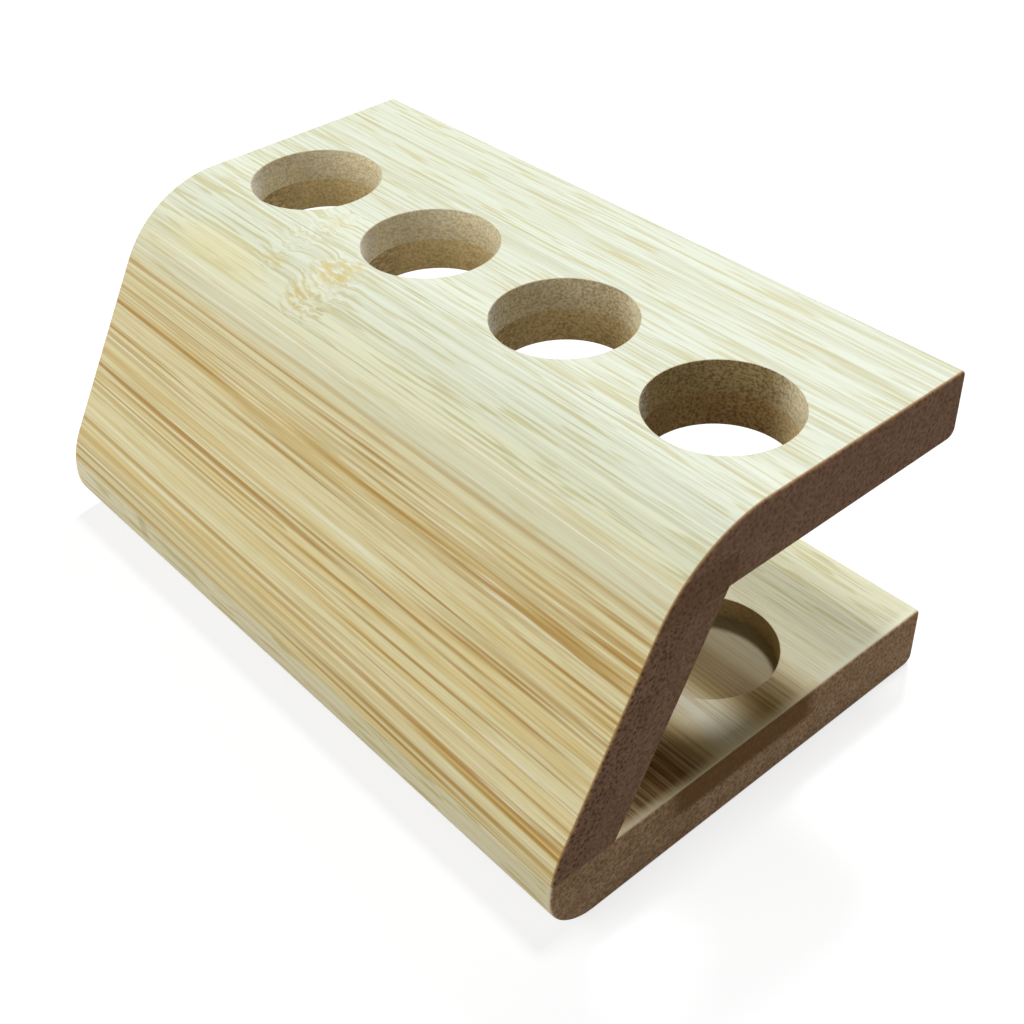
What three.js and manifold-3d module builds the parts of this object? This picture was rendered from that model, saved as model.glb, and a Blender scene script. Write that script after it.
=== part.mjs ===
// A bamboo stand for spare toothbrush heads. A head drops through a hole in the top board, its stem
// crosses the open bay and its foot lands in a shallow round seat in the base board.
//
// Top, front and base are laminated boards: two plies of flat bamboo strips, glued face to face, with
// the strip joints of one ply staggered against those of the other. The front board leans back between
// the other two, with both ends cut level and glued to them.
//
// Millimetres, +Z up. The origin is the middle of the footprint, on the surface the stand rests on.
// +X runs along the row of holes and +Y points to the open rear.

import * as THREE from 'three';
import { mergeVertices } from 'three/addons/utils/BufferGeometryUtils.js';
import Module from 'manifold-3d';

const wasm = await Module();
wasm.setup();

// Overall size
const length = 115;
const depth = 70;
const height = 50;

// Boards
const topThickness = 10;
const frontThickness = 10;
const baseThickness = 10;
const frontLean = THREE.MathUtils.degToRad(60);
const glueLine = 0.1;

// Rounded edges. The front's outer face, carried on downwards, meets the plane of the front edge at
// heelCornerHeight: the heel curve rounds that corner off.
const topFrontRadius = 20;
const heelCornerHeight = 11.2;
const heelRadius = 7;
const rearLowerRadius = 1.5;
const rearUpperRadius = 0.6;

// Holes in the top board and seats in the base board. The row of holes is spread evenly between the two
// end margins, and its rims stay clear of the front board, so that a head drops straight to its seat.
const holeCount = 4;
const holeDiameter = 20;
const holeEndMargin = 5.5;
const holeFrontClearance = 4.8;
const seatDepth = 3.3;
const drillOverrun = 5;

// Strip joints. On the level boards a rear joint is measured from the rear edge, and a front joint from
// the front edge, which on the top board is where its face would meet the slope. On the front board a
// joint is measured down the slope, from the upper end of its outer face.
const topFaceFrontJoint = 18.1;
const topUnderRearJoint = 11;
const topUnderFrontJoint = 6.9;
const frontFaceJoint = 18;
const frontBackJoint = 2;
const baseFloorRearJoint = 21.3;
const baseFloorFrontJoint = 19;
const baseSoleRearJoint = 7.3;
const baseSoleFrontJoint = 33;

// Fineness of the round shapes
const arcSteps = 20;
const smallArcSteps = 6;
const holeSides = 64;

// Colours of the strips
const paleCream = 0xe9e2bd;
const warmCream = 0xe6dcae;
const streakedGold = 0xd3b877;
const shadedStraw = 0xc9b98c;
const toastedBrown = 0x9c7a4c;
const stripRoughness = 0.55;

const frontY = -depth / 2;
const rearY = depth / 2;
const topUnderside = height - topThickness;

// Directions in the side view, as (y, z): down the front board's slope, and into it from its outer face
const downSlope = new THREE.Vector2(-Math.cos(frontLean), -Math.sin(frontLean));
const intoFront = new THREE.Vector2(Math.sin(frontLean), -Math.cos(frontLean));
const forwards = new THREE.Vector2(-1, 0);
const upwards = new THREE.Vector2(0, 1);
const floorLevel = new THREE.Vector2(0, 0);

function pointOnSlope(z) {
  return new THREE.Vector2(frontY + (z - heelCornerHeight) / Math.tan(frontLean), z);
}

// Places that follow from the sizes: where the top board's face would meet the slope, where the front
// board's inner face meets the top board's underside, and from there the row of holes
const topDepth = rearY - pointOnSlope(height).x;
const frontInnerY = pointOnSlope(topUnderside).x + frontThickness / Math.sin(frontLean);
const holeRowY = frontInnerY + holeFrontClearance + holeDiameter / 2;
const holePitch = (length - 2 * holeEndMargin - holeDiameter) / (holeCount - 1);

function arc(centreY, centreZ, radius, from, to, steps) {
  return Array.from({ length: steps + 1 }, (_, step) => {
    const angle = from + ((to - from) * step) / steps;
    return new THREE.Vector2(centreY + radius * Math.cos(angle), centreZ + radius * Math.sin(angle));
  });
}

// Keeps the part of an outline whose distance from a point, along a direction, is between two limits.
function slab(outline, start, direction, low, high) {
  const keep = (points, distanceInside) =>
    points.flatMap((point, index) => {
      const next = points[(index + 1) % points.length];
      const here = distanceInside(point);
      const there = distanceInside(next);
      const kept = here >= 0 ? [point] : [];
      if (here * there < 0) {
        kept.push(point.clone().lerp(next, here / (here - there)));
      }
      return kept;
    });
  const distance = (point) => direction.dot(point.clone().sub(start));
  const aboveLow = keep(outline, (point) => distance(point) - low);
  return keep(aboveLow, (point) => high - distance(point));
}

// The rear edge of a level board, from its underside up to its face.
function rearEdge(underside, face) {
  const lowerZ = underside + rearLowerRadius;
  const upperZ = face - rearUpperRadius;
  return [
    ...arc(rearY - rearLowerRadius, lowerZ, rearLowerRadius, -Math.PI / 2, 0, smallArcSteps),
    ...arc(rearY - rearUpperRadius, upperZ, rearUpperRadius, 0, Math.PI / 2, smallArcSteps),
  ];
}

// The bend, from the top face round to the slope.
function bendCurve() {
  const bendY = pointOnSlope(height).x + topFrontRadius * Math.tan(frontLean / 2);
  const bendZ = height - topFrontRadius;
  return arc(bendY, bendZ, topFrontRadius, Math.PI / 2, Math.PI / 2 + frontLean, arcSteps);
}

// The heel curve, from the slope down to the underside: a wide arc, then the small heel arc.
function heelCurve() {
  const turn = Math.PI / 2 - frontLean;
  const wideRadius = (heelCornerHeight - heelRadius) / Math.tan(turn / 2);
  return [
    ...arc(frontY + wideRadius, heelRadius, wideRadius, Math.PI - turn, Math.PI, arcSteps),
    ...arc(frontY + heelRadius, heelRadius, heelRadius, Math.PI, 1.5 * Math.PI, arcSteps).slice(1),
  ];
}

// Outline of the top board. Its front edge is rounded until it runs into the front's outer face.
function topOutline() {
  const outline = [...rearEdge(topUnderside, height), ...bendCurve(), pointOnSlope(0)];
  return slab(outline, floorLevel, upwards, topUnderside, height);
}

// Outline of the front board: a slab behind the slope, with a glue line left at each level end.
function frontOutline() {
  const block = [
    ...bendCurve(),
    ...heelCurve(),
    new THREE.Vector2(rearY, 0),
    new THREE.Vector2(rearY, height),
  ];
  const leaning = slab(block, pointOnSlope(0), intoFront, -Infinity, frontThickness);
  return slab(leaning, floorLevel, upwards, baseThickness + glueLine, topUnderside - glueLine);
}

// Outline of the base board. It runs right under the front board to the heel.
function baseOutline() {
  const outline = [...heelCurve(), ...rearEdge(0, baseThickness)];
  return slab(outline, floorLevel, upwards, 0, baseThickness);
}

// A closed geometry as a solid that can be cut.
function toSolid(geometry) {
  const bare = geometry.clone();
  bare.deleteAttribute('normal');
  bare.deleteAttribute('uv');
  const merged = mergeVertices(bare);
  return new wasm.Manifold(new wasm.Mesh({
    numProp: 3,
    vertProperties: new Float32Array(merged.attributes.position.array),
    triVerts: new Uint32Array(merged.index.array),
  }));
}

function toGeometry(solid) {
  const mesh = solid.getMesh();
  const geometry = new THREE.BufferGeometry();
  geometry.setAttribute('position', new THREE.BufferAttribute(mesh.vertProperties, 3));
  geometry.setIndex(new THREE.BufferAttribute(mesh.triVerts, 1));
  geometry.computeVertexNormals();
  return geometry;
}

// A side-view outline, drawn out along the whole length.
function alongLength(outline) {
  const shape = new THREE.Shape(outline);
  const geometry = new THREE.ExtrudeGeometry(shape, { depth: length, bevelEnabled: false });
  geometry.translate(0, 0, -length / 2);
  const sideView = new THREE.Matrix4().makeBasis(
    new THREE.Vector3(0, 1, 0), new THREE.Vector3(0, 0, 1), new THREE.Vector3(1, 0, 0),
  );
  return geometry.applyMatrix4(sideView);
}

// The row of drills that cuts the holes, or the seats, between two heights.
function drills(from, to) {
  return Array.from({ length: holeCount }, (_, index) => {
    const drill = new THREE.CylinderGeometry(holeDiameter / 2, holeDiameter / 2, to - from, holeSides);
    drill.rotateX(Math.PI / 2);
    drill.translate((index - (holeCount - 1) / 2) * holePitch, holeRowY, (from + to) / 2);
    return toSolid(drill);
  });
}

// One ply of a board: the strips between its joints, each with its share of the glue line.
function stripOutlines(outline, ply) {
  const halfGlue = glueLine / 2;
  const layer = slab(outline, ply.start, ply.through, ply.from + halfGlue, ply.to - halfGlue);
  const edges = [-Infinity, ...ply.joints, Infinity];
  return edges.slice(1).map((edge, index) =>
    slab(layer, ply.start, ply.across, edges[index] + halfGlue, edge - halfGlue));
}

const stand = new THREE.Group();

function addPly(outline, ply) {
  stripOutlines(outline, ply).forEach((strip, index) => {
    const cut = ply.drills.reduce((solid, drill) => solid.subtract(drill), toSolid(alongLength(strip)));
    const { name, colour } = ply.strips[index];
    const finish = { color: colour, roughness: stripRoughness, metalness: 0 };
    const mesh = new THREE.Mesh(toGeometry(cut), new THREE.MeshStandardMaterial(finish));
    mesh.name = name;
    stand.add(mesh);
  });
}

// Top board: strips are named from the rear to the front.
const topStart = new THREE.Vector2(rearY, topUnderside);
const topDrills = drills(topUnderside - drillOverrun, height + drillOverrun);
const topBoard = { start: topStart, through: upwards, across: forwards, drills: topDrills };
addPly(topOutline(), {
  ...topBoard,
  from: topThickness / 2,
  to: Infinity,
  joints: [topDepth - topFaceFrontJoint],
  strips: [
    { name: 'top_face_strip_rear', colour: paleCream },
    { name: 'top_face_strip_front', colour: paleCream },
  ],
});
addPly(topOutline(), {
  ...topBoard,
  from: -Infinity,
  to: topThickness / 2,
  joints: [topUnderRearJoint, topDepth - topUnderFrontJoint],
  strips: [
    { name: 'top_under_strip_rear', colour: warmCream },
    { name: 'top_under_strip_middle', colour: warmCream },
    { name: 'top_under_strip_front', colour: warmCream },
  ],
});

// Front board: strips are named from the upper to the lower.
const frontBoard = {
  start: pointOnSlope(topUnderside),
  through: intoFront,
  across: downSlope,
  drills: [],
};
addPly(frontOutline(), {
  ...frontBoard,
  from: -Infinity,
  to: frontThickness / 2,
  joints: [frontFaceJoint],
  strips: [
    { name: 'front_face_strip_upper', colour: streakedGold },
    { name: 'front_face_strip_lower', colour: streakedGold },
  ],
});
addPly(frontOutline(), {
  ...frontBoard,
  from: frontThickness / 2,
  to: Infinity,
  joints: [frontBackJoint],
  strips: [
    { name: 'front_back_strip_upper', colour: shadedStraw },
    { name: 'front_back_strip_lower', colour: shadedStraw },
  ],
});

// Base board: strips are named from the rear to the front.
const baseStart = new THREE.Vector2(rearY, 0);
const seatDrills = drills(baseThickness - seatDepth, baseThickness + drillOverrun);
const baseBoard = { start: baseStart, through: upwards, across: forwards, drills: seatDrills };
addPly(baseOutline(), {
  ...baseBoard,
  from: baseThickness / 2,
  to: Infinity,
  joints: [baseFloorRearJoint, depth - baseFloorFrontJoint],
  strips: [
    { name: 'base_floor_strip_rear', colour: warmCream },
    { name: 'base_floor_strip_middle', colour: toastedBrown },
    { name: 'base_floor_strip_front', colour: shadedStraw },
  ],
});
addPly(baseOutline(), {
  ...baseBoard,
  from: -Infinity,
  to: baseThickness / 2,
  joints: [baseSoleRearJoint, depth - baseSoleFrontJoint],
  strips: [
    { name: 'base_sole_strip_rear', colour: warmCream },
    { name: 'base_sole_strip_middle', colour: shadedStraw },
    { name: 'base_sole_strip_front', colour: warmCream },
  ],
});

export default stand;
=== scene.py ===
import math
from types import SimpleNamespace

import bmesh
import bpy
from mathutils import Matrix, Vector


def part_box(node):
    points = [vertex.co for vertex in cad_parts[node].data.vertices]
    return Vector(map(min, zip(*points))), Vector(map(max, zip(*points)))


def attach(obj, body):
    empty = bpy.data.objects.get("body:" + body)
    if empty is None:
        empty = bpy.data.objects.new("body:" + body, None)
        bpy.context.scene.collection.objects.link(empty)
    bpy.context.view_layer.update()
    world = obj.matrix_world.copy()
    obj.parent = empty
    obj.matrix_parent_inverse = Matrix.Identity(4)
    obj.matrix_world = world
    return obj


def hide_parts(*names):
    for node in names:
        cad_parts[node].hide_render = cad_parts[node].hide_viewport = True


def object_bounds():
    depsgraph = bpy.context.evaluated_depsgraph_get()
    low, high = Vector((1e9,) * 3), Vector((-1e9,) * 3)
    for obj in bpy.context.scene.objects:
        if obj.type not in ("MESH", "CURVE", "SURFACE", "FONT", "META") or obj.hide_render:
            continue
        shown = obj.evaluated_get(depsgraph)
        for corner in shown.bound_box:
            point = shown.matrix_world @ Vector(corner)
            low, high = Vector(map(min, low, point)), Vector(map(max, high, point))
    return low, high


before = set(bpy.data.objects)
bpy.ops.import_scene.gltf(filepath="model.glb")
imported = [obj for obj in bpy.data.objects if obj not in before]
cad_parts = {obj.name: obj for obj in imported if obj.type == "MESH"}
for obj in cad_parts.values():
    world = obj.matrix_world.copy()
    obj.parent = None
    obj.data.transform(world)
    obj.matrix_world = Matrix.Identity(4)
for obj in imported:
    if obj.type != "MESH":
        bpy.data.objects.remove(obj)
cad_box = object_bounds()
bpy.context.scene.view_settings.view_transform = "Standard"

# The blank: three laminated bamboo boards, glued into a leaning C and machined to one outline. It is
# rolled out here as one sheet round the side view, closed at both ends and drilled, and later sawn
# into its strips along the middle of the glue lines. Every edge is eased by sanding.
stand_size = cad_box[1] - cad_box[0]
length = stand_size.x
height = stand_size.z
front_y = cad_box[0].y
rear_y = cad_box[1].y
board_thickness = 0.010
front_lean = math.radians(60)
bend_radius = 0.020
bend_steps = 36
heel_corner_height = 0.0112
heel_radius = 0.007
heel_steps = 18
heel_rise_steps = 12
rear_lower_radius = 0.0015
rear_lower_steps = 7
rear_upper_radius = 0.0006
rear_upper_steps = 5
sanded_radius = 0.00045
sanded_steps = 3
round_profile = 0.5
quarter = math.pi / 2
near = 1e-6


def slope_y(z):
    """How far back the front board's outer face, carried on straight, is at a height."""
    return front_y + (z - heel_corner_height) / math.tan(front_lean)


def deselect_all():
    """Leaves no object selected, and no mesh open for editing."""
    if bpy.context.object and bpy.context.object.mode != "OBJECT":
        bpy.ops.object.mode_set(mode="OBJECT")
    bpy.ops.object.select_all(action="DESELECT")


def edit(piece):
    """Opens one piece for editing, with nothing in it selected."""
    deselect_all()
    piece.select_set(True)
    bpy.context.view_layer.objects.active = piece
    bpy.ops.object.mode_set(mode="EDIT")
    bpy.ops.mesh.select_mode(type="EDGE")
    bpy.ops.mesh.select_all(action="DESELECT")


def select_edges(piece, wanted):
    """Selects the edges of an open piece whose two ends are both wanted."""
    bpy.ops.mesh.select_all(action="DESELECT")
    mesh = bmesh.from_edit_mesh(piece.data)
    for edge in mesh.edges:
        edge.select_set(all(wanted(vert.co) for vert in edge.verts))
    bmesh.update_edit_mesh(piece.data)


def run_to(piece, y, z):
    """Draws the sheet on, straight, from its selected edge to a place in the side view."""
    mesh = bmesh.from_edit_mesh(piece.data)
    here = next(vert.co.copy() for vert in mesh.verts if vert.select)
    step = (0, y - here.y, z - here.z)
    bpy.ops.mesh.extrude_region_move(TRANSFORM_OT_translate={"value": step})


def roll(y, z, angle, steps):
    """Rolls the sheet on from its selected edge, round an axis along the length."""
    bpy.ops.mesh.spin(steps=steps, angle=angle, center=(0, y, z), axis=(1, 0, 0))


heel_turn = quarter - front_lean
heel_rise_radius = (heel_corner_height - heel_radius) / math.tan(heel_turn / 2)
bend_y = slope_y(height) + bend_radius * math.tan(front_lean / 2)
bend_start_z = height - bend_radius * (1 - math.cos(front_lean))
ceiling_z = height - board_thickness
board_slant = board_thickness / math.sin(front_lean)
sole_front = front_y + heel_radius
sole_rear = rear_y - rear_lower_radius
lip_rear = rear_y - rear_upper_radius

deselect_all()
bpy.ops.mesh.primitive_plane_add(size=1, location=(0, (sole_front + sole_rear) / 2, 0))
blank = bpy.context.object
blank.name = "blank"
blank.scale = (length, sole_rear - sole_front, 1)
bpy.ops.object.transform_apply(location=True, rotation=True, scale=True)
edit(blank)
select_edges(blank, lambda place: abs(place.y - sole_front) < near)
roll(sole_front, heel_radius, quarter, heel_steps)
roll(front_y + heel_rise_radius, heel_radius, heel_turn, heel_rise_steps)
run_to(blank, slope_y(bend_start_z), bend_start_z)
roll(bend_y, height - bend_radius, front_lean, bend_steps)
run_to(blank, lip_rear, height)
roll(lip_rear, height - rear_upper_radius, quarter, rear_upper_steps)
run_to(blank, rear_y, ceiling_z + rear_lower_radius)
roll(sole_rear, ceiling_z + rear_lower_radius, quarter, rear_lower_steps)
run_to(blank, slope_y(ceiling_z) + board_slant, ceiling_z)
run_to(blank, slope_y(board_thickness) + board_slant, board_thickness)
run_to(blank, lip_rear, board_thickness)
roll(lip_rear, board_thickness - rear_upper_radius, quarter, rear_upper_steps)
run_to(blank, rear_y, rear_lower_radius)
roll(sole_rear, rear_lower_radius, quarter, rear_lower_steps)
bpy.ops.mesh.select_all(action="SELECT")
bpy.ops.mesh.remove_doubles(threshold=near)
for end_x in (-length / 2, length / 2):
    select_edges(blank, lambda place: abs(place.x - end_x) < near)
    bpy.ops.mesh.edge_face_add()
bpy.ops.mesh.select_all(action="SELECT")
bpy.ops.mesh.normals_make_consistent(inside=False)
for end_x in (-length / 2, length / 2):
    select_edges(blank, lambda place: abs(place.x - end_x) < near)
    bpy.ops.mesh.bevel(
        offset=sanded_radius,
        segments=sanded_steps,
        profile=round_profile,
        clamp_overlap=False,
    )

# The four holes in the top board, and the four shallow seats below them in the base board: drilled
# after the glue-up, with the sharp rims taken off by sandpaper.
hole_count = 4
hole_radius = 0.010
hole_end_margin = 0.0055
hole_front_clearance = 0.0048
hole_sides = 120
seat_depth = 0.0033
drill_overrun = 0.005
rim_radius = 0.00022
rim_steps = 2
rim_tolerance = 0.00005
hole_row_y = slope_y(ceiling_z) + board_slant + hole_front_clearance + hole_radius
hole_pitch = (length - 2 * hole_end_margin - 2 * hole_radius) / (hole_count - 1)
hole_places = [(index - (hole_count - 1) / 2) * hole_pitch for index in range(hole_count)]


def drill(piece, x, low, high):
    """Cuts a round hole, between two heights, out of a piece."""
    deselect_all()
    bpy.ops.mesh.primitive_cylinder_add(
        vertices=hole_sides,
        radius=hole_radius,
        depth=high - low,
        location=(x, hole_row_y, (low + high) / 2),
    )
    bit = bpy.context.object
    bpy.context.view_layer.objects.active = piece
    cut = piece.modifiers.new("drill", "BOOLEAN")
    cut.object = bit
    cut.operation = "DIFFERENCE"
    cut.solver = "EXACT"
    bpy.ops.object.modifier_apply(modifier=cut.name)
    bpy.data.objects.remove(bit)


def on_a_rim(place):
    """Whether a place is on a drilled wall, at a face that the drill went through."""
    faces = (height, ceiling_z, board_thickness)
    from_axes = [math.hypot(place.x - x, place.y - hole_row_y) for x in hole_places]
    at_a_face = any(abs(place.z - face) < rim_tolerance for face in faces)
    at_a_wall = any(abs(distance - hole_radius) < rim_tolerance for distance in from_axes)
    return at_a_face and at_a_wall


for hole_x in hole_places:
    drill(blank, hole_x, ceiling_z - drill_overrun, height + drill_overrun)
    drill(blank, hole_x, board_thickness - seat_depth, board_thickness + drill_overrun)
edit(blank)
select_edges(blank, on_a_rim)
bpy.ops.mesh.bevel(offset=rim_radius, segments=rim_steps, profile=round_profile, clamp_overlap=False)
deselect_all()

# The top face strips: two wide strips of pale bamboo, planed flat and glued edge to edge. They are the
# upper ply of the top board. The front one runs down into the bend and carries a growth ring's scar.
upwards = Vector((0, 0, 1))
forwards = Vector((0, -1, 0))
smooth_angle = math.radians(35)


def between(upper, lower):
    """The middle of the level glue line between two nodes."""
    return Vector((0, 0, (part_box(upper)[0].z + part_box(lower)[1].z) / 2))


def joint(rear, front):
    """The middle of the upright glue line between two strips of a level board."""
    return Vector((0, (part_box(rear)[0].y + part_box(front)[1].y) / 2, 0))


def saw(node, slot, material, *cuts):
    """A strip that stands for a node: a copy of the blank without what lies beyond each cut."""
    deselect_all()
    blank.select_set(True)
    bpy.context.view_layer.objects.active = blank
    bpy.ops.object.duplicate()
    strip = bpy.context.object
    strip.name = node + "_sanded"
    strip.data.name = strip.name
    edit(strip)
    for place, beyond in cuts:
        bpy.ops.mesh.select_all(action="SELECT")
        bpy.ops.mesh.bisect(
            plane_co=place,
            plane_no=beyond,
            use_fill=True,
            clear_outer=True,
            threshold=near,
        )
    bpy.ops.object.mode_set(mode="OBJECT")
    bpy.ops.object.shade_smooth_by_angle(angle=smooth_angle)
    flats = strip.modifiers.new("flats", "WEIGHTED_NORMAL")
    flats.keep_sharp = True
    bpy.ops.object.modifier_apply(modifier=flats.name)
    strip.data.materials.append(material)
    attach(strip, "root")
    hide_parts(node)


# The shader sums that the bamboo is made with. Its places and grains are in millimetres.
millimetres = 1000
half_length = length / 2 * millimetres
bore = hole_radius * millimetres
mix_under = 6
mix_over = 7
mix_result = 2


def add(tree, kind, inputs=None, **settings):
    """A new shader node. Each of its inputs is a socket to link, or a value to set."""
    made = tree.nodes.new(kind)
    for name, value in settings.items():
        setattr(made, name, value)
    for key, value in (inputs or {}).items():
        if isinstance(value, bpy.types.NodeSocket):
            tree.links.new(value, made.inputs[key])
        elif made.inputs[key].type == "RGBA":
            made.inputs[key].default_value = (*value, 1)
        else:
            made.inputs[key].default_value = value
    return made


def sums(tree, operation, *values):
    """The result of one sum on numbers."""
    return add(tree, "ShaderNodeMath", dict(enumerate(values)), operation=operation).outputs[0]


def product(tree, first, second):
    """Two numbers multiplied."""
    return sums(tree, "MULTIPLY", first, second)


def rest_of(tree, share):
    """What a share leaves of 1."""
    return sums(tree, "SUBTRACT", 1.0, share)


def vectors(tree, operation, *values):
    """The result of one sum on vectors."""
    return add(tree, "ShaderNodeVectorMath", dict(enumerate(values)), operation=operation).outputs[0]


def size_of(tree, vector):
    """The length of a vector."""
    return add(tree, "ShaderNodeVectorMath", {0: vector}, operation="LENGTH").outputs["Value"]


def parts_of(tree, vector):
    """The X, Y and Z of a vector."""
    return add(tree, "ShaderNodeSeparateXYZ", {0: vector}).outputs


def rise(tree, value, low, high, top=1.0):
    """A number that goes smoothly from 0 to its top, as a value goes from low to high."""
    inputs = {"Value": value, "From Min": low, "From Max": high, "To Max": top}
    return add(tree, "ShaderNodeMapRange", inputs, interpolation_type="SMOOTHSTEP").outputs[0]


def tint(tree, share, under, over):
    """A share of one colour laid over another."""
    inputs = {"Factor": share, mix_under: under, mix_over: over}
    return add(tree, "ShaderNodeMix", inputs, data_type="RGBA").outputs[mix_result]


cloud_steps = (3.7, 5.3, 7.9)
usual_detail = 2.0
plain_detail = 1.0
rough_detail = 3.0


def cloud(tree, place, seed, grains, detail=usual_detail):
    """Uneven soft spots: about so many millimetres along, across and through the strip."""
    spread = add(tree, "ShaderNodeMapping", {
        "Vector": place,
        "Location": tuple(seed * step for step in cloud_steps),
        "Scale": tuple(1 / grain for grain in grains),
    }).outputs[0]
    return add(tree, "ShaderNodeTexNoise", {"Vector": spread, "Scale": 1.0, "Detail": detail}).outputs


patch_edges = (1.0, 0.3)


def patch(tree, place, middle, reach):
    """A soft oval spot round a place. It has no end where its reach is 0."""
    off = vectors(tree, "SUBTRACT", place, middle)
    off = vectors(tree, "MULTIPLY", off, tuple(1 / side if side else 0 for side in reach))
    return rise(tree, size_of(tree, off), *patch_edges)


# The run of the fibres along X. The bundles bow and wander, so that they come to the surface and leave
# it again, and they lie at three spacings.
bundle_scatter = 0.9
bundle_least_radius = 0.1
bundle_radius_range = 0.2
bundle_edges = (-0.22, 0.18)
coarse_spacing = 1.4
medium_spacing = 0.9
fine_spacing = 0.55
middle_grey = (0.5, 0.5, 0.5)
wander_grains = (170, 16, 16)
wander_reach = (0, 2.4, 2.4)
bow_start = 70
bow_slope = 0.012
bow_curve = 0.00007
run_steps = (0, 31.7, 17.3)
fibre_grains = (45, 0.36, 0.36)


def bundles(tree, run, spacing):
    """Fibre bundles about so far apart: where they are, and one chance for each."""
    across = parts_of(tree, run)
    section = add(tree, "ShaderNodeCombineXYZ", {0: across["Y"], 1: across["Z"]}).outputs[0]
    cells = add(tree, "ShaderNodeTexVoronoi", {
        "Vector": section,
        "Scale": 1 / spacing,
        "Randomness": bundle_scatter,
    }, voronoi_dimensions="2D").outputs
    chance = add(tree, "ShaderNodeSeparateColor", {0: cells["Color"]}).outputs
    radius = sums(tree, "MULTIPLY_ADD", chance[0], bundle_radius_range, bundle_least_radius)
    depth_inside = sums(tree, "SUBTRACT", radius, cells["Distance"])
    return rise(tree, depth_inside, *bundle_edges), chance[1]


def fibres(tree, seed, tones, lean, ripple):
    """A strip's wood: its tones, its places and facings, and the bundles that each place lies in."""
    coordinates = add(tree, "ShaderNodeTexCoord").outputs
    place = vectors(tree, "MULTIPLY", coordinates["Object"], (millimetres, millimetres, millimetres))
    here = parts_of(tree, place)
    grain = add(tree, "ShaderNodeMapping", {"Vector": place, "Rotation": (lean, 0, 0)}).outputs[0]
    wander = cloud(tree, grain, seed, wander_grains)["Color"]
    wander = vectors(tree, "SUBTRACT", wander, middle_grey)
    run = vectors(tree, "MULTIPLY_ADD", wander, wander_reach, grain)
    from_left = sums(tree, "ADD", here["X"], bow_start)
    bow = add(tree, "ShaderNodeCombineXYZ", {
        "Y": product(tree, from_left, bow_slope),
        "Z": product(tree, product(tree, from_left, from_left), bow_curve),
    }).outputs[0]
    run = vectors(tree, "ADD", run, bow)
    run = vectors(tree, "ADD", run, tuple(seed * step for step in run_steps))
    if ripple:
        run = vectors(tree, "ADD", run, ripple(tree, place, seed))
    return SimpleNamespace(
        tree=tree,
        seed=seed,
        tones=tones,
        place=place,
        here=here,
        normal=coordinates["Normal"],
        facing=parts_of(tree, coordinates["Normal"]),
        grain=grain,
        run=run,
        coarse=bundles(tree, run, coarse_spacing),
        medium=bundles(tree, run, medium_spacing),
        fine=bundles(tree, run, fine_spacing),
        fibre=cloud(tree, run, seed + 2, fibre_grains, rough_detail)[0],
    )


# The long faces. Towards the bend they fade into plain cream with a few short dashes.
drift_grains = (150, 2.4, 2.4)
dash_grains = (12, 0.55, 0.55)
line_grains = (80, 0.6, 0.6)
drift_middle = 0.5
band_edges = (0.42, 0.66)
chance_edges = (0.05, 0.65)
dash_edges = (0.54, 0.64)
fibre_edges = (0.5, 0.78)
pale_edges = (0.44, 0.26)
hair_edges = (0.6, 0.72)
bend_ground = (0.79, 0.79, 0.55)


def long_faces(wood):
    """The colour of the long faces: pale ground, warm bands, ochre bundles, dashes, fibres and hairs."""
    tree = wood.tree
    tones = wood.tones
    drift = cloud(tree, wood.run, wood.seed + 1, drift_grains)[0]
    strayed = sums(tree, "SUBTRACT", drift, drift_middle)
    uneven = sums(tree, "MULTIPLY_ADD", strayed, tones["fade_drift"], wood.here["Z"])
    plain = rise(tree, uneven, *tones["fade"])
    bold = sums(tree, "MULTIPLY_ADD", plain, -tones["fade_share"], 1.0)
    face = tint(tree, plain, tones["ground"], bend_ground)
    band = product(tree, rise(tree, drift, *band_edges, tones["band_share"]), bold)
    face = tint(tree, band, face, tones["band"])
    layers = (
        (wood.fine, tones["fine_share"], tones["thread"]),
        (wood.medium, tones["medium_share"], tones["streak"]),
        (wood.coarse, tones["streak_share"], tones["streak"]),
    )
    for (bundle, chance), share, shade in layers:
        strength = product(tree, rise(tree, chance, *chance_edges, share), bold)
        face = tint(tree, product(tree, bundle, strength), face, shade)
    dash = cloud(tree, wood.run, wood.seed + 6, dash_grains, plain_detail)[0]
    face = tint(tree, rise(tree, dash, *dash_edges, tones["dash_share"]), face, tones["dash"])
    face = tint(tree, rise(tree, wood.fibre, *fibre_edges, tones["fibre_share"]), face, tones["streak"])
    face = tint(tree, rise(tree, wood.fibre, *pale_edges, tones["pale_share"]), face, tones["pale"])
    line = cloud(tree, wood.run, wood.seed + 3, line_grains, plain_detail)[0]
    hair = product(tree, rise(tree, line, *hair_edges, tones["hair_share"]), bold)
    return tint(tree, hair, face, tones["hair"])


# The ends, sawn across the fibres.
speck_grains = (0.5, 0.5, 0.5)
mottle_grains = (3.0, 3.0, 3.0)
speck_edges = (0.36, 0.66)
mottle_edges = (0.4, 0.7)
mottle_share = 0.5


def sawn_ends(wood):
    """The colour of the ends: a mottled brown ground with the dark dots of the bundles."""
    tree = wood.tree
    tones = wood.tones
    speck = cloud(tree, wood.grain, wood.seed, speck_grains, rough_detail)[0]
    mottle = cloud(tree, wood.grain, wood.seed, mottle_grains)[0]
    end = tint(tree, rise(tree, speck, *speck_edges), tones["end"], tones["end_dark"])
    end = tint(tree, rise(tree, mottle, *mottle_edges, mottle_share), end, tones["end_dark"])
    small_dots = product(tree, wood.fine[0], tones["dot_share"] / 2)
    end = tint(tree, small_dots, end, tones["end_dot"])
    large_dots = product(tree, wood.medium[0], tones["dot_share"])
    return tint(tree, large_dots, end, tones["end_dot"])


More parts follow.
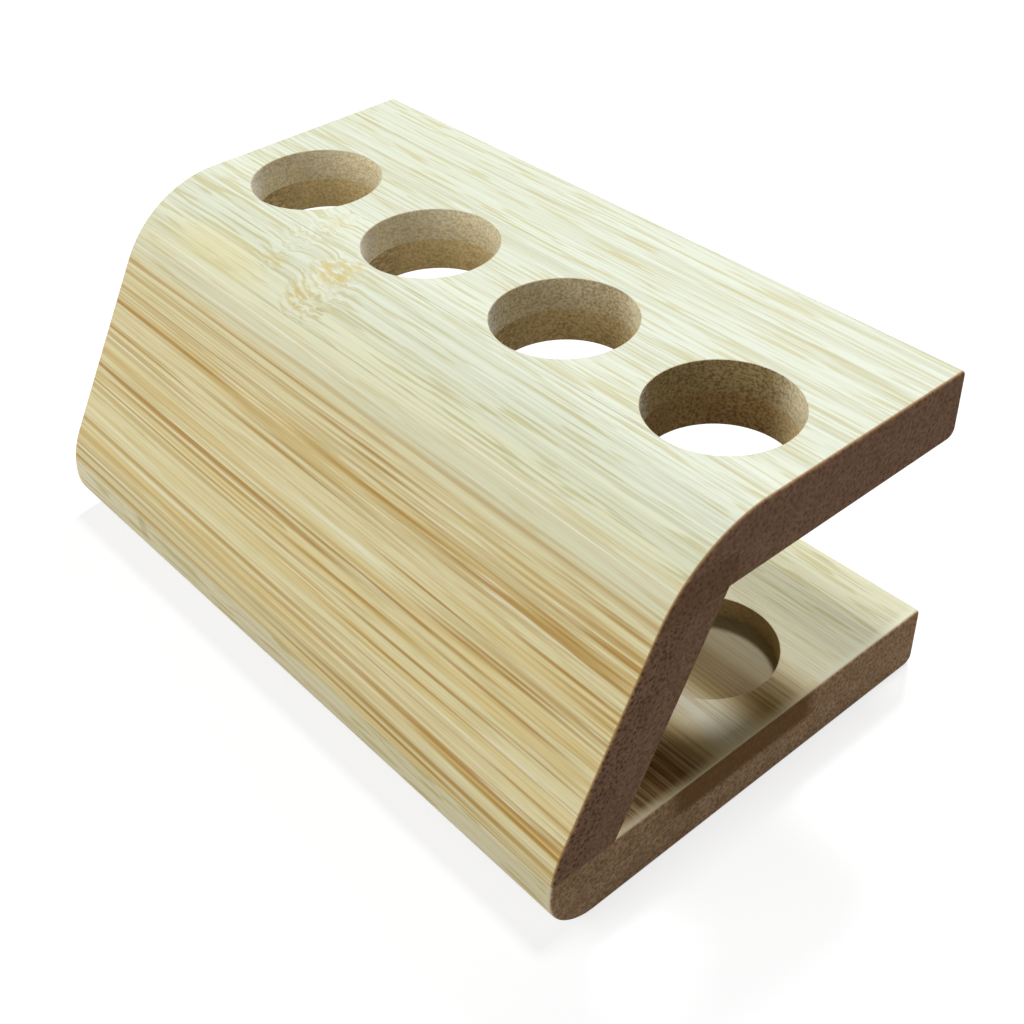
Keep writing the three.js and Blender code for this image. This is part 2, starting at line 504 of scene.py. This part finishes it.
# The drilled walls: torn fibres and open pores, with painted light and shade at the front left (light
# on the upper ply, shade below), raw fibres with painted light and shade on the left side of the first
# holes, and painted shade that grows towards the last hole.
torn_grains = (1.2, 1.2, 0.3)
torn_edges = (0.45, 0.75)
torn_share = 0.5
torn_relief = 4.0
wall_bundle_share = 0.2
hole_shade_edges = (-15, 38)
hole_shade_side = (-0.5, 0.2)
hole_shade_share = 0.8
raw_shading_side = (0.3, 0.9)
raw_shading_share = 0.6
raw_shading_edges = (0.62, 0.42)
side_light_way = (0.64, 0.77, 0)
side_light_edges = (0.7, 0.4)
side_light_share = 0.8
pore_grains = (0.42, 0.42, 0.38)
pore_edges = (0.36, 0.68)
pore_share = 0.3
shaded_pore_share = 0.5
upright_edges = (0.9, 0.2)
wall_edges = (bore + 0.3, bore + 0.05)
rim_strength = 2.4


def from_hole(wood):
    """How far a place is from the axis of the nearest hole."""
    tree = wood.tree
    pitch = hole_pitch * millimetres
    along = sums(tree, "SUBTRACT", sums(tree, "WRAP", wood.here["X"], pitch, 0.0), pitch / 2)
    across = sums(tree, "SUBTRACT", wood.here["Y"], hole_row_y * millimetres)
    return size_of(tree, add(tree, "ShaderNodeCombineXYZ", {0: along, 1: across}).outputs[0])


def torn_wall(wood, torn):
    """The colour of the drilled walls."""
    tree = wood.tree
    tones = wood.tones
    sideways = wood.facing["X"]
    wall = tint(tree, rise(tree, torn, *torn_edges, torn_share), tones["wall"], tones["wall_dark"])
    wall = tint(tree, product(tree, wood.coarse[0], wall_bundle_share), wall, tones["wall_dark"])
    last_hole = rise(tree, wood.here["X"], *hole_shade_edges)
    # Raw fibres with painted light and shade on the left side of all but the last hole.
    raw_shading = product(tree, rise(tree, sideways, *raw_shading_side, raw_shading_share), rest_of(tree, last_hole))
    wall = tint(tree, product(tree, raw_shading, rise(tree, torn, *raw_shading_edges)), wall, tones["wall_raw_shading"])
    # Painted shade that grows towards the last hole.
    hole_shaded = product(tree, last_hole, rise(tree, sideways, *hole_shade_side, hole_shade_share))
    wall = tint(tree, hole_shaded, wall, tones["hole_shade"])
    # Painted light on the upper ply, and painted shade on the lower ply and in the seats, at the front
    # left.
    inputs = {0: wood.normal, 1: side_light_way}
    side_facing = add(tree, "ShaderNodeVectorMath", inputs, operation="DOT_PRODUCT").outputs["Value"]
    side_light_shade = rise(tree, side_facing, *tones["side_light_shade_reach"])
    side_light_shade = product(tree, side_light_shade, rise(tree, torn, *side_light_edges, side_light_share))
    wall = tint(tree, side_light_shade, wall, tones["side_light_shade"])
    pore = cloud(tree, wood.place, wood.seed + 7, pore_grains, rough_detail)[0]
    pitted = sums(tree, "MULTIPLY_ADD", hole_shaded, shaded_pore_share, pore_share)
    pitted = product(tree, rise(tree, pore, *pore_edges), pitted)
    return tint(tree, pitted, wall, tones["pit"])


def drilled(wood, colour, relief):
    """A strip's colour and relief, with the walls and the eased rims of its holes or seats."""
    tree = wood.tree
    upright = rise(tree, sums(tree, "ABSOLUTE", wood.facing["Z"]), *upright_edges)
    at_wall = product(tree, rise(tree, from_hole(wood), *wall_edges), upright)
    torn = cloud(tree, wood.place, wood.seed + 4, torn_grains, rough_detail)[0]
    colour = tint(tree, at_wall, colour, torn_wall(wood, torn))
    rim = product(tree, at_wall, rest_of(tree, at_wall))
    colour = tint(tree, product(tree, rim, rim_strength), colour, wood.tones["edge"])
    relief = sums(tree, "MULTIPLY_ADD", product(tree, torn, at_wall), torn_relief, relief)
    return colour, relief


# The whole bamboo: long faces, ends and drilled walls, with a satin finish and a faint relief.
above_the_stand = (70, 71)
usual_finish = {"fade": above_the_stand, "fade_drift": 0.0, "fade_share": 0.0, "gloss": 0.2}
end_edges = (0.08, 0.8)
end_edge_strength = 3.2
face_roughness = 0.52
end_roughness_rise = 0.3
bundle_relief = -0.6
relief_strength = 0.3
relief_depth = 0.00008


def bamboo(name, seed, tones, lean=0.0, ripple=None, marks=(), end_marks=(), covers=()):
    """Sanded bamboo, with marks on its long faces, on its ends or over all of it."""
    material = bpy.data.materials.new(name)
    material.use_nodes = True
    tree = material.node_tree
    wood = fibres(tree, seed, {**usual_finish, **tones}, lean, ripple)
    face = long_faces(wood)
    for mark in marks:
        face = mark(wood, face)
    end = sawn_ends(wood)
    for mark in end_marks:
        end = mark(wood, end)
    endwise = rise(tree, sums(tree, "ABSOLUTE", wood.facing["X"]), *end_edges)
    half_way = product(tree, endwise, rest_of(tree, endwise))
    colour = tint(tree, endwise, face, end)
    colour = tint(tree, product(tree, half_way, end_edge_strength), colour, tones["edge"])
    relief = sums(tree, "MULTIPLY_ADD", wood.coarse[0], bundle_relief, wood.fibre)
    if "wall" in tones:
        colour, relief = drilled(wood, colour, relief)
    for cover in covers:
        colour = cover(wood, colour)
    raised = {"Height": relief, "Strength": relief_strength, "Distance": relief_depth}
    roughness = sums(tree, "MULTIPLY_ADD", endwise, end_roughness_rise, face_roughness)
    surface = tree.nodes["Principled BSDF"]
    tree.links.new(colour, surface.inputs["Base Color"])
    tree.links.new(roughness, surface.inputs["Roughness"])
    tree.links.new(add(tree, "ShaderNodeBump", raised).outputs[0], surface.inputs["Normal"])
    surface.inputs["Specular IOR Level"].default_value = wood.tones["gloss"]
    return material


# The scar on the front strip: a growth ring that pushes the fibres aside and stains them.
strong_ring = ((-17.5, -8.5, 0), (6.5, 8.5, 0))
faint_ring = ((-28.5, -2.0, 0), (5.0, 13.0, 0))
faint_ring_share = 0.6
ripple_grains = (2.6, 1.8, 1.8)
ripple_middle = (0.5, 0.35, 0.5)
ripple_reach = (0, 4.2, 1.6)
knot_grains = (2.4, 0.75, 0.75)
knot_edges = (0.36, 0.6)
clear_edges = (0.46, 0.3)
clear_share = 0.6
scar_spots = (
    ((-17.6, -6.2, 0), (5.4, 3.2, 0), 0.85),
    ((-19.3, -11.2, 0), (3.0, 2.4, 0), 0.7),
    ((-15.5, -3.4, 0), (2.2, 1.3, 0), 0.6),
    ((-28.5, -9.4, 0), (3.2, 2.2, 0), 0.45),
    ((-28.0, 2.5, 0), (2.8, 3.4, 0), 0.3),
)
arc_spot = ((-18.8, -11.0, 0), (5.0, 5.5, 0))
arc_centre = (-16.5, -1.0, 0)
arc_wobble = 1.6
arc_rate = 5.0
arc_crests = (0.1, 1.0)
arc_troughs = (-0.1, -1.0)
arc_share = 0.6
stain_spot = ((-39.0, -13.0, 0), (16.0, 4.5, 0))
stain_share = 0.6
scar_yellow = (0.60, 0.48, 0.19)
scar_cream = (0.76, 0.76, 0.58)
stain_yellow = (0.76, 0.69, 0.38)


def growth_ring(tree, place):
    """Where the growth ring lies: a strong patch, and a faint one beside it."""
    faint = product(tree, patch(tree, place, *faint_ring), faint_ring_share)
    return sums(tree, "MAXIMUM", patch(tree, place, *strong_ring), faint)


def ring_ripple(tree, place, seed):
    """How far the growth ring pushes the fibres aside."""
    ripple = cloud(tree, place, seed, ripple_grains)["Color"]
    ripple = vectors(tree, "SUBTRACT", ripple, ripple_middle)
    ripple = vectors(tree, "MULTIPLY", ripple, ripple_reach)
    inputs = {0: ripple, "Scale": growth_ring(tree, place)}
    return add(tree, "ShaderNodeVectorMath", inputs, operation="SCALE").outputs[0]


def scar(wood, face):
    """The long faces with the growth ring's stain, its knots in yellow and cream, and its arcs."""
    tree = wood.tree
    place = wood.place
    knots = cloud(tree, place, wood.seed + 5, knot_grains)[0]
    face = tint(tree, product(tree, patch(tree, place, *stain_spot), stain_share), face, stain_yellow)
    for middle, reach, share in scar_spots:
        spot = product(tree, patch(tree, place, middle, reach), rise(tree, knots, *knot_edges, share))
        face = tint(tree, spot, face, scar_yellow)
    clear = product(tree, growth_ring(tree, place), rise(tree, knots, *clear_edges, clear_share))
    face = tint(tree, clear, face, scar_cream)
    off = vectors(tree, "SUBTRACT", place, arc_centre)
    off = size_of(tree, vectors(tree, "MULTIPLY", off, (1, 1, 0)))
    wobbly = sums(tree, "MULTIPLY_ADD", knots, arc_wobble, off)
    wave = sums(tree, "SINE", product(tree, wobbly, arc_rate))
    arcs = patch(tree, place, *arc_spot)
    for edges, shade in ((arc_crests, scar_yellow), (arc_troughs, scar_cream)):
        face = tint(tree, product(tree, arcs, rise(tree, wave, *edges, arc_share)), face, shade)
    return face


end_tones = {
    "end": (0.40, 0.235, 0.14),
    "end_dark": (0.265, 0.142, 0.08),
    "end_dot": (0.10, 0.043, 0.019),
    "edge": (0.48, 0.25, 0.07),
    "dot_share": 0.55,
}
top_wall_tones = {
    "wall": (0.95, 0.86, 0.59),
    "wall_dark": (0.56, 0.44, 0.22),
    "wall_raw_shading": (0.82, 0.79, 0.70),
    "hole_shade": (0.26, 0.16, 0.028),
    "side_light_shade": (0.80, 0.80, 0.76),
    "side_light_shade_reach": (0.78, 0.98),
    "pit": (0.08, 0.045, 0.012),
}
top_tones = {
    "band": (0.58, 0.60, 0.44),
    "streak": (0.40, 0.375, 0.19),
    "thread": (0.43, 0.41, 0.22),
    "dash": (0.48, 0.42, 0.16),
    "hair": (0.38, 0.29, 0.14),
    "pale": (0.69, 0.74, 0.68),
    "band_share": 0.4,
    "streak_share": 0.35,
    "medium_share": 0.25,
    "fine_share": 0.35,
    "fibre_share": 0.4,
    "pale_share": 0.7,
    "hair_share": 0.1,
    "dash_share": 0.52,
    "fade": (49.6, 45.5),
}
top_rear_ground = (0.65, 0.69, 0.57)
top_front_ground = (0.685, 0.725, 0.595)
top_ply = between("top_face_strip_rear", "top_under_strip_rear")
top_face_joint = joint("top_face_strip_rear", "top_face_strip_front")
top_rear_tones = {**top_tones, **end_tones, **top_wall_tones, "ground": top_rear_ground}
top_front_tones = {**top_tones, **end_tones, **top_wall_tones, "ground": top_front_ground}
saw(
    "top_face_strip_rear",
    "pale_bamboo",
    bamboo("pale_bamboo_rear", seed=1, tones=top_rear_tones),
    (top_ply, -upwards),
    (top_face_joint, forwards),
)
saw(
    "top_face_strip_front",
    "pale_bamboo",
    bamboo(
        "pale_bamboo_front",
        seed=2,
        tones=top_front_tones,
        ripple=ring_ripple,
        marks=(scar,),
    ),
    (top_ply, -upwards),
    (top_face_joint, -forwards),
)

# The top under strips: three strips of warmer bamboo, the lower ply of the top board. The drill goes
# through the middle one, and the front one, as golden as the front board, shows low on the bend.
under_wall_tones = {
    "wall": (0.91, 0.75, 0.42),
    "wall_dark": (0.48, 0.34, 0.14),
    "wall_raw_shading": (0.72, 0.62, 0.42),
    "hole_shade": (0.25, 0.13, 0.03),
    "side_light_shade": (0.22, 0.12, 0.045),
    "side_light_shade_reach": (0.2, 0.95),
    "pit": (0.07, 0.035, 0.012),
}
under_tones = {
    "ground": bend_ground,
    "band": (0.72, 0.66, 0.39),
    "streak": (0.50, 0.41, 0.16),
    "thread": (0.54, 0.45, 0.20),
    "dash": (0.58, 0.47, 0.16),
    "hair": (0.40, 0.26, 0.11),
    "pale": (0.82, 0.82, 0.66),
    "band_share": 0.4,
    "streak_share": 0.3,
    "medium_share": 0.2,
    "fine_share": 0.3,
    "fibre_share": 0.4,
    "pale_share": 0.5,
    "hair_share": 0.2,
    "dash_share": 0.75,
}
front_tones = {
    "ground": (0.84, 0.755, 0.43),
    "band": (0.77, 0.57, 0.20),
    "streak": (0.46, 0.245, 0.035),
    "thread": (0.59, 0.36, 0.085),
    "dash": (0.66, 0.54, 0.22),
    "hair": (0.44, 0.29, 0.13),
    "pale": (0.97, 0.94, 0.74),
    "band_share": 0.55,
    "streak_share": 0.9,
    "medium_share": 0.95,
    "fine_share": 0.5,
    "fibre_share": 0.35,
    "pale_share": 0.75,
    "hair_share": 0.18,
    "dash_share": 0.35,
    "fade": (37.5, 43.5),
    "fade_drift": 12.0,
    "fade_share": 0.86,
    "end": (0.39, 0.23, 0.135),
    "end_dark": (0.24, 0.13, 0.07),
    "end_dot": (0.07, 0.028, 0.013),
    "dot_share": 0.85,
}
straw = {"ground": (0.67, 0.56, 0.32), "band": (0.60, 0.47, 0.23), "pale": (0.74, 0.66, 0.45)}
golden = {**front_tones, "end": (0.30, 0.165, 0.08), "end_dark": (0.20, 0.10, 0.047), "dot_share": 0.6}
under_looks = {"rear": straw, "middle": straw, "front": golden}
under_seed = 3


def strip_cuts(ply):
    """The cuts that part a ply of a level board into its rear, middle and front strips."""
    rear_joint = joint(ply + "_rear", ply + "_middle")
    front_joint = joint(ply + "_middle", ply + "_front")
    return {
        "rear": [(rear_joint, forwards)],
        "middle": [(rear_joint, -forwards), (front_joint, forwards)],
        "front": [(front_joint, -forwards)],
    }


top_foot = between("top_under_strip_front", "front_face_strip_upper")
for seed, (place, cuts) in enumerate(strip_cuts("top_under_strip").items(), start=under_seed):
    tones = {**under_tones, **end_tones, **under_wall_tones, **under_looks[place]}
    saw(
        "top_under_strip_" + place,
        "warm_bamboo",
        bamboo("warm_bamboo_" + place, seed, tones),
        (top_ply, upwards),
        (top_foot, -upwards),
        *cuts,
    )

# The front face strips: the outer ply of the leaning front board, two golden strips with bold brown
# streaks and one browner lane, glued to the flat underside of the top and the flat face of the base.
into_front = Vector((0, math.sin(front_lean), -math.cos(front_lean)))
down_slope = Vector((0, -math.cos(front_lean), -math.sin(front_lean)))
base_head = between("front_face_strip_lower", "base_floor_strip_front")
front_ply = Vector((0, slope_y(0), 0)) + into_front * board_thickness / 2
ragged_edges = (0.36, 0.62)


def laned(*lanes):
    """A mark of ragged lanes along a strip: each a middle and reach in Y, a shade, a share, an evenness."""

    def mark(wood, face):
        tree = wood.tree
        ragged = rise(tree, wood.fibre, *ragged_edges)
        for middle, reach, shade, share, evenness in lanes:
            lane = patch(tree, wood.place, (0, middle, 0), (0, reach, 0))
            lane = product(tree, lane, sums(tree, "MULTIPLY_ADD", ragged, 1 - evenness, evenness))
            face = tint(tree, product(tree, lane, share), face, shade)
        return face

    return mark


def front_strip(ply, place, slot, material, to_other_ply, to_other_strip):
    """A strip of the front board, cut off at the top, the base, its other ply and its other strip."""
    upper_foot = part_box(ply + "_upper")[0].y
    lower_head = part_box(ply + "_lower")[1].z
    saw(
        f"{ply}_{place}",
        slot,
        material,
        (top_foot, upwards),
        (base_head, -upwards),
        (front_ply, to_other_ply),
        (Vector((0, upper_foot, lower_head)), to_other_strip),
    )


front_face_tones = {**end_tones, **front_tones}
front_lane = laned((-21.4, 2.0, (0.50, 0.31, 0.08), 0.38, 0.05))
front_face_looks = (
    ("upper", down_slope, (front_lane,)),
    ("lower", -down_slope, ()),
)
front_face_seed = 6
for seed, (place, to_other_strip, marks) in enumerate(front_face_looks, start=front_face_seed):
    name = f"front_face_strip_{place}_bamboo"
    material = bamboo(name, seed, front_face_tones, lean=-front_lean, marks=marks)
    front_strip("front_face_strip", place, "streaked_bamboo", material, into_front, to_other_strip)

# The front back strips: the inner ply of the leaning front board, two browner straw strips darkened
# as painted shade inside the angle, planed flat and glued to the outer ply.
front_back_tones = {
    **front_face_tones,
    "ground": (0.50, 0.38, 0.18),
    "band": (0.42, 0.29, 0.12),
    "dot_share": 0.4,
}
front_back_places = (("upper", down_slope), ("lower", -down_slope))
front_back_seed = 8
for seed, (place, to_other_strip) in enumerate(front_back_places, start=front_back_seed):
    name = f"front_back_strip_{place}_bamboo"
    material = bamboo(name, seed, front_back_tones, lean=-front_lean)
    front_strip("front_back_strip", place, "straw_bamboo", material, -into_front, to_other_strip)

# The base floor strips: the upper ply of the base board, three strips with the seats drilled into
# them, duller than the outside. Lanes of painted light and painted shade run along them, the seat
# floors carry painted shade, their rims at the two ends carry painted light, and the middle one's
# ends are toasted dark.
# The base's ends: their eased edges and the seat rims are pale, partly fuzz and partly painted highlight.
base_end_tones = {
    "end": (0.71, 0.465, 0.265),
    "end_dark": (0.42, 0.255, 0.135),
    "end_dot": (0.16, 0.075, 0.03),
    "edge": (0.80, 0.72, 0.50),
    "dot_share": 0.5,
}
seat_wall_tones = {
    "wall": (0.60, 0.47, 0.27),
    "wall_dark": (0.42, 0.31, 0.15),
    "wall_raw_shading": (0.50, 0.38, 0.20),
    "hole_shade": (0.60, 0.47, 0.27),
    "side_light_shade": (0.36, 0.25, 0.11),
    "side_light_shade_reach": (0.6, 0.95),
    "pit": (0.40, 0.29, 0.14),
}
floor_finish = {"fade": above_the_stand, "gloss": 0.08}
base_ground = (0.85, 0.78, 0.53)
floor_tones = {
    "rear": {
        **top_tones,
        "ground": (0.74, 0.74, 0.54),
        "streak": (0.50, 0.43, 0.21),
        "pale": (0.80, 0.80, 0.63),
        "streak_share": 0.22,
        "medium_share": 0.2,
        "fine_share": 0.3,
    },
    "middle": {
        **front_tones,
        "ground": (0.78, 0.72, 0.47),
        "pale": (0.74, 0.63, 0.38),
        "streak_share": 0.5,
        "medium_share": 0.5,
        "fine_share": 0.5,
        "pale_share": 0.4,
    },
    "front": {**under_tones, "ground": base_ground, "pale": (0.82, 0.72, 0.48)},
}
# Painted shade: brown lanes inside the angle, where the boards shade the base.
angle_shade_lanes = (
    (-16.0, 13.0, (0.40, 0.235, 0.07), 1.0, 0.5),
    (-16.0, 13.0, (0.13, 0.055, 0.011), 0.9, 0.5),
)
# Lanes of painted light near the rear of the floor and in front of the seats, and of painted shade through
# the seats.
floor_light_shade_lanes = {
    "rear": laned((14.0, 8.0, (0.95, 0.91, 0.66), 0.75, 0.3)),
    "middle": laned(
        (14.0, 5.0, (0.88, 0.84, 0.58), 0.9, 0.4),
        (7.0, 4.6, (0.40, 0.26, 0.095), 1.0, 0.5),
        (-1.0, 5.0, (0.95, 0.92, 0.76), 1.0, 0.5),
        *angle_shade_lanes,
    ),
    "front": laned(*angle_shade_lanes),
}
# Painted light along the floor's rims at the two ends.
lit_rim_edges = (half_length - 1.9, half_length - 0.2)
lit_rim_share = 0.8
smudge_shift = (36, 0, -8.5)
smudge_tilt = 0.5
smudge_reach = (1.6, 0, 3.4)
smudge_share = 0.35
toasted_brown = (0.20, 0.095, 0.025)
toast_fade = 3.5
toast_foot = -0.2
toast_full = 1.2
toast_share = 0.85
# The painted shade on the seat floors.
seat_shade_brown = (0.20, 0.15, 0.08)
seat_shade_share = 0.75
seat_top = board_thickness * millimetres
seat_heights = (seat_top - 0.5, seat_top - 1.5)
seat_edges = (bore + 0.05, bore - 0.1)
seat_shade_rise = (0, 9)
seat_facing = (0.5, 0.9)


def lit_end_rims(wood, face):
    """The long faces with painted light, pale, on their rims at the two ends."""
    from_middle = sums(wood.tree, "ABSOLUTE", wood.here["X"])
    lit_rim = rise(wood.tree, from_middle, *lit_rim_edges, lit_rim_share)
    return tint(wood.tree, lit_rim, face, wood.tones["pale"])


def smudge(wood, face):
    """The long faces with a faint leaning smudge on the heel."""
    tree = wood.tree
    tilted = add(tree, "ShaderNodeMapping", {"Vector": wood.place, "Location": smudge_shift}).outputs[0]
    tilted = add(tree, "ShaderNodeMapping", {"Vector": tilted, "Rotation": (0, smudge_tilt, 0)}).outputs[0]
    spot = patch(tree, tilted, (0, 0, 0), smudge_reach)
    return tint(tree, product(tree, spot, smudge_share), face, wood.tones["hair"])


def toast(wood, end):
    """The middle strip's ends, toasted brown but for their joints and their foot."""
    tree = wood.tree
    low, high = [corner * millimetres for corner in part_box("base_floor_strip_middle")]
    from_front = rise(tree, wood.here["Y"], low.y, low.y + toast_fade)
    from_rear = rise(tree, wood.here["Y"], high.y, high.y - toast_fade)
    from_foot = rise(tree, wood.here["Z"], low.z + toast_foot, low.z + toast_full, toast_share)
    deep = product(tree, product(tree, from_front, from_rear), from_foot)
    return tint(tree, deep, end, toasted_brown)


def shaded_seat_floors(wood, colour):
    """A strip's colour with painted shade on the floors of the seats, darker towards the rear."""
    tree = wood.tree
    seat_shade = rise(tree, wood.here["Z"], *seat_heights)
    seat_shade = product(tree, seat_shade, rise(tree, from_hole(wood), *seat_edges, seat_shade_share))
    seat_shade = product(tree, seat_shade, rise(tree, wood.here["Y"], *seat_shade_rise))
    seat_shade = product(tree, seat_shade, rise(tree, wood.facing["Z"], *seat_facing))
    return tint(tree, seat_shade, colour, seat_shade_brown)


base_ply = between("base_floor_strip_rear", "base_sole_strip_rear")
floor_slots = {"rear": "warm_bamboo", "middle": "toasted_bamboo", "front": "straw_bamboo"}
floor_marks = {
    "rear": (floor_light_shade_lanes["rear"], lit_end_rims),
    "middle": (floor_light_shade_lanes["middle"], lit_end_rims),
    "front": (floor_light_shade_lanes["front"], lit_end_rims, smudge),
}
floor_end_marks = {"rear": (), "middle": (toast,), "front": ()}
floor_seed = 10
for seed, (place, cuts) in enumerate(strip_cuts("base_floor_strip").items(), start=floor_seed):
    tones = {**floor_tones[place], **floor_finish, **base_end_tones, **seat_wall_tones}
    material = bamboo(
        "floor_bamboo_" + place,
        seed,
        tones,
        marks=floor_marks[place],
        end_marks=floor_end_marks[place],
        covers=(shaded_seat_floors,),
    )
    saw(
        "base_floor_strip_" + place,
        floor_slots[place],
        material,
        (base_head, upwards),
        (base_ply, -upwards),
        *cuts,
    )

# The base sole strips: the lower ply of the base board, three strips planed flat underneath. The
# front one is rounded into the heel, with a faint smudge on it. The blank is used up after them.
sole_slots = {"rear": "warm_bamboo", "middle": "straw_bamboo", "front": "warm_bamboo"}
sole_tones = {**under_tones, "ground": base_ground, **base_end_tones}
sole_marks = {"rear": (), "middle": (), "front": (smudge,)}
sole_seed = 13
for seed, (place, cuts) in enumerate(strip_cuts("base_sole_strip").items(), start=sole_seed):
    saw(
        "base_sole_strip_" + place,
        sole_slots[place],
        bamboo("sole_bamboo_" + place, seed, sole_tones, marks=sole_marks[place]),
        (base_ply, upwards),
        *cuts,
    )
bpy.data.objects.remove(blank)

# The floor: a plain white sheet that the stand rests on. Seen straight or in a reflection it glows, the
# more the farther it is, so that it is white there, and it keeps the stand's shadow.
sheet_size = 6
sheet_grey = 0.32
sheet_roughness = 0.9
glow_near = 0.76
glow_rise = 0.24
glow_reach = (0.3, 1.4)
white = (1, 1, 1, 1)


def looked_at(tree):
    """1 where something is seen straight, mirrored or through glass, and 0 where it only gives light."""
    seen = add(tree, "ShaderNodeLightPath").outputs
    mirrored = sums(tree, "MAXIMUM", seen["Is Glossy Ray"], seen["Is Transmission Ray"])
    return sums(tree, "MAXIMUM", seen["Is Camera Ray"], mirrored)


deselect_all()
bpy.ops.mesh.primitive_plane_add(size=sheet_size)
floor = bpy.context.object
floor.name = "floor"
paper = bpy.data.materials.new("paper")
paper.use_nodes = True
sheet = paper.node_tree
far = size_of(sheet, add(sheet, "ShaderNodeTexCoord").outputs["Object"])
glow = sums(sheet, "ADD", rise(sheet, far, *glow_reach, glow_rise), glow_near)
glow = product(sheet, looked_at(sheet), glow)
paper_surface = sheet.nodes["Principled BSDF"]
paper_surface.inputs["Base Color"].default_value = (sheet_grey, sheet_grey, sheet_grey, 1)
paper_surface.inputs["Roughness"].default_value = sheet_roughness
paper_surface.inputs["Specular IOR Level"].default_value = 0.0
paper_surface.inputs["Emission Color"].default_value = white
sheet.links.new(glow, paper_surface.inputs["Emission Strength"])
floor.data.materials.append(paper)

# The light: a small bright panel behind the stand on the left, one overhead, and large soft ones in
# front, on the left and on the right, in an even white room that gives little light of its own.
room_level = 0.05
room = bpy.data.worlds.new("room")
bpy.context.scene.world = room
room.use_nodes = True
air = room.node_tree
around = air.nodes["Background"]
around.inputs["Color"].default_value = white
brightness = sums(air, "MULTIPLY_ADD", looked_at(air), 1 - room_level, room_level)
air.links.new(brightness, around.inputs["Strength"])


def hang_panel(name, place, size, power):
    """A square soft light that faces the stand."""
    deselect_all()
    bpy.ops.object.light_add(type="AREA", location=place)
    panel = bpy.context.object
    panel.name = name
    panel.data.size = size
    panel.data.energy = power
    panel.rotation_euler = (-Vector(place)).to_track_quat("-Z", "Y").to_euler()


hang_panel("rear_panel", (-0.26, 0.52, 0.65), 0.13, 5.1)
hang_panel("overhead_panel", (0.02, 0.2, 0.82), 0.12, 2.60)
hang_panel("front_panel", (-0.15, -0.77, 0.37), 0.6, 3.45)
hang_panel("left_panel", (-0.70, -0.45, 0.35), 0.5, 1.65)
hang_panel("right_panel", (0.70, -0.10, 0.30), 0.5, 0.5)

# The camera: at the photograph's place, above the near right-hand corner.
camera_place = Vector((0.13672, -0.10451, 0.15235))
camera_azimuth = math.radians(50.2)
camera_elevation = math.radians(39.06)
camera_roll = math.radians(-2.29)
camera_sensor = 36
camera_lens = 51.92
deselect_all()
bpy.ops.object.camera_add(location=camera_place)
camera = bpy.context.object
camera.data.sensor_width = camera_sensor
camera.data.lens = camera_lens
camera.rotation_mode = "XYZ"
camera.rotation_euler = (quarter - camera_elevation, 0, camera_azimuth)
camera.rotation_euler.rotate_axis("Z", camera_roll)
bpy.context.scene.camera = camera
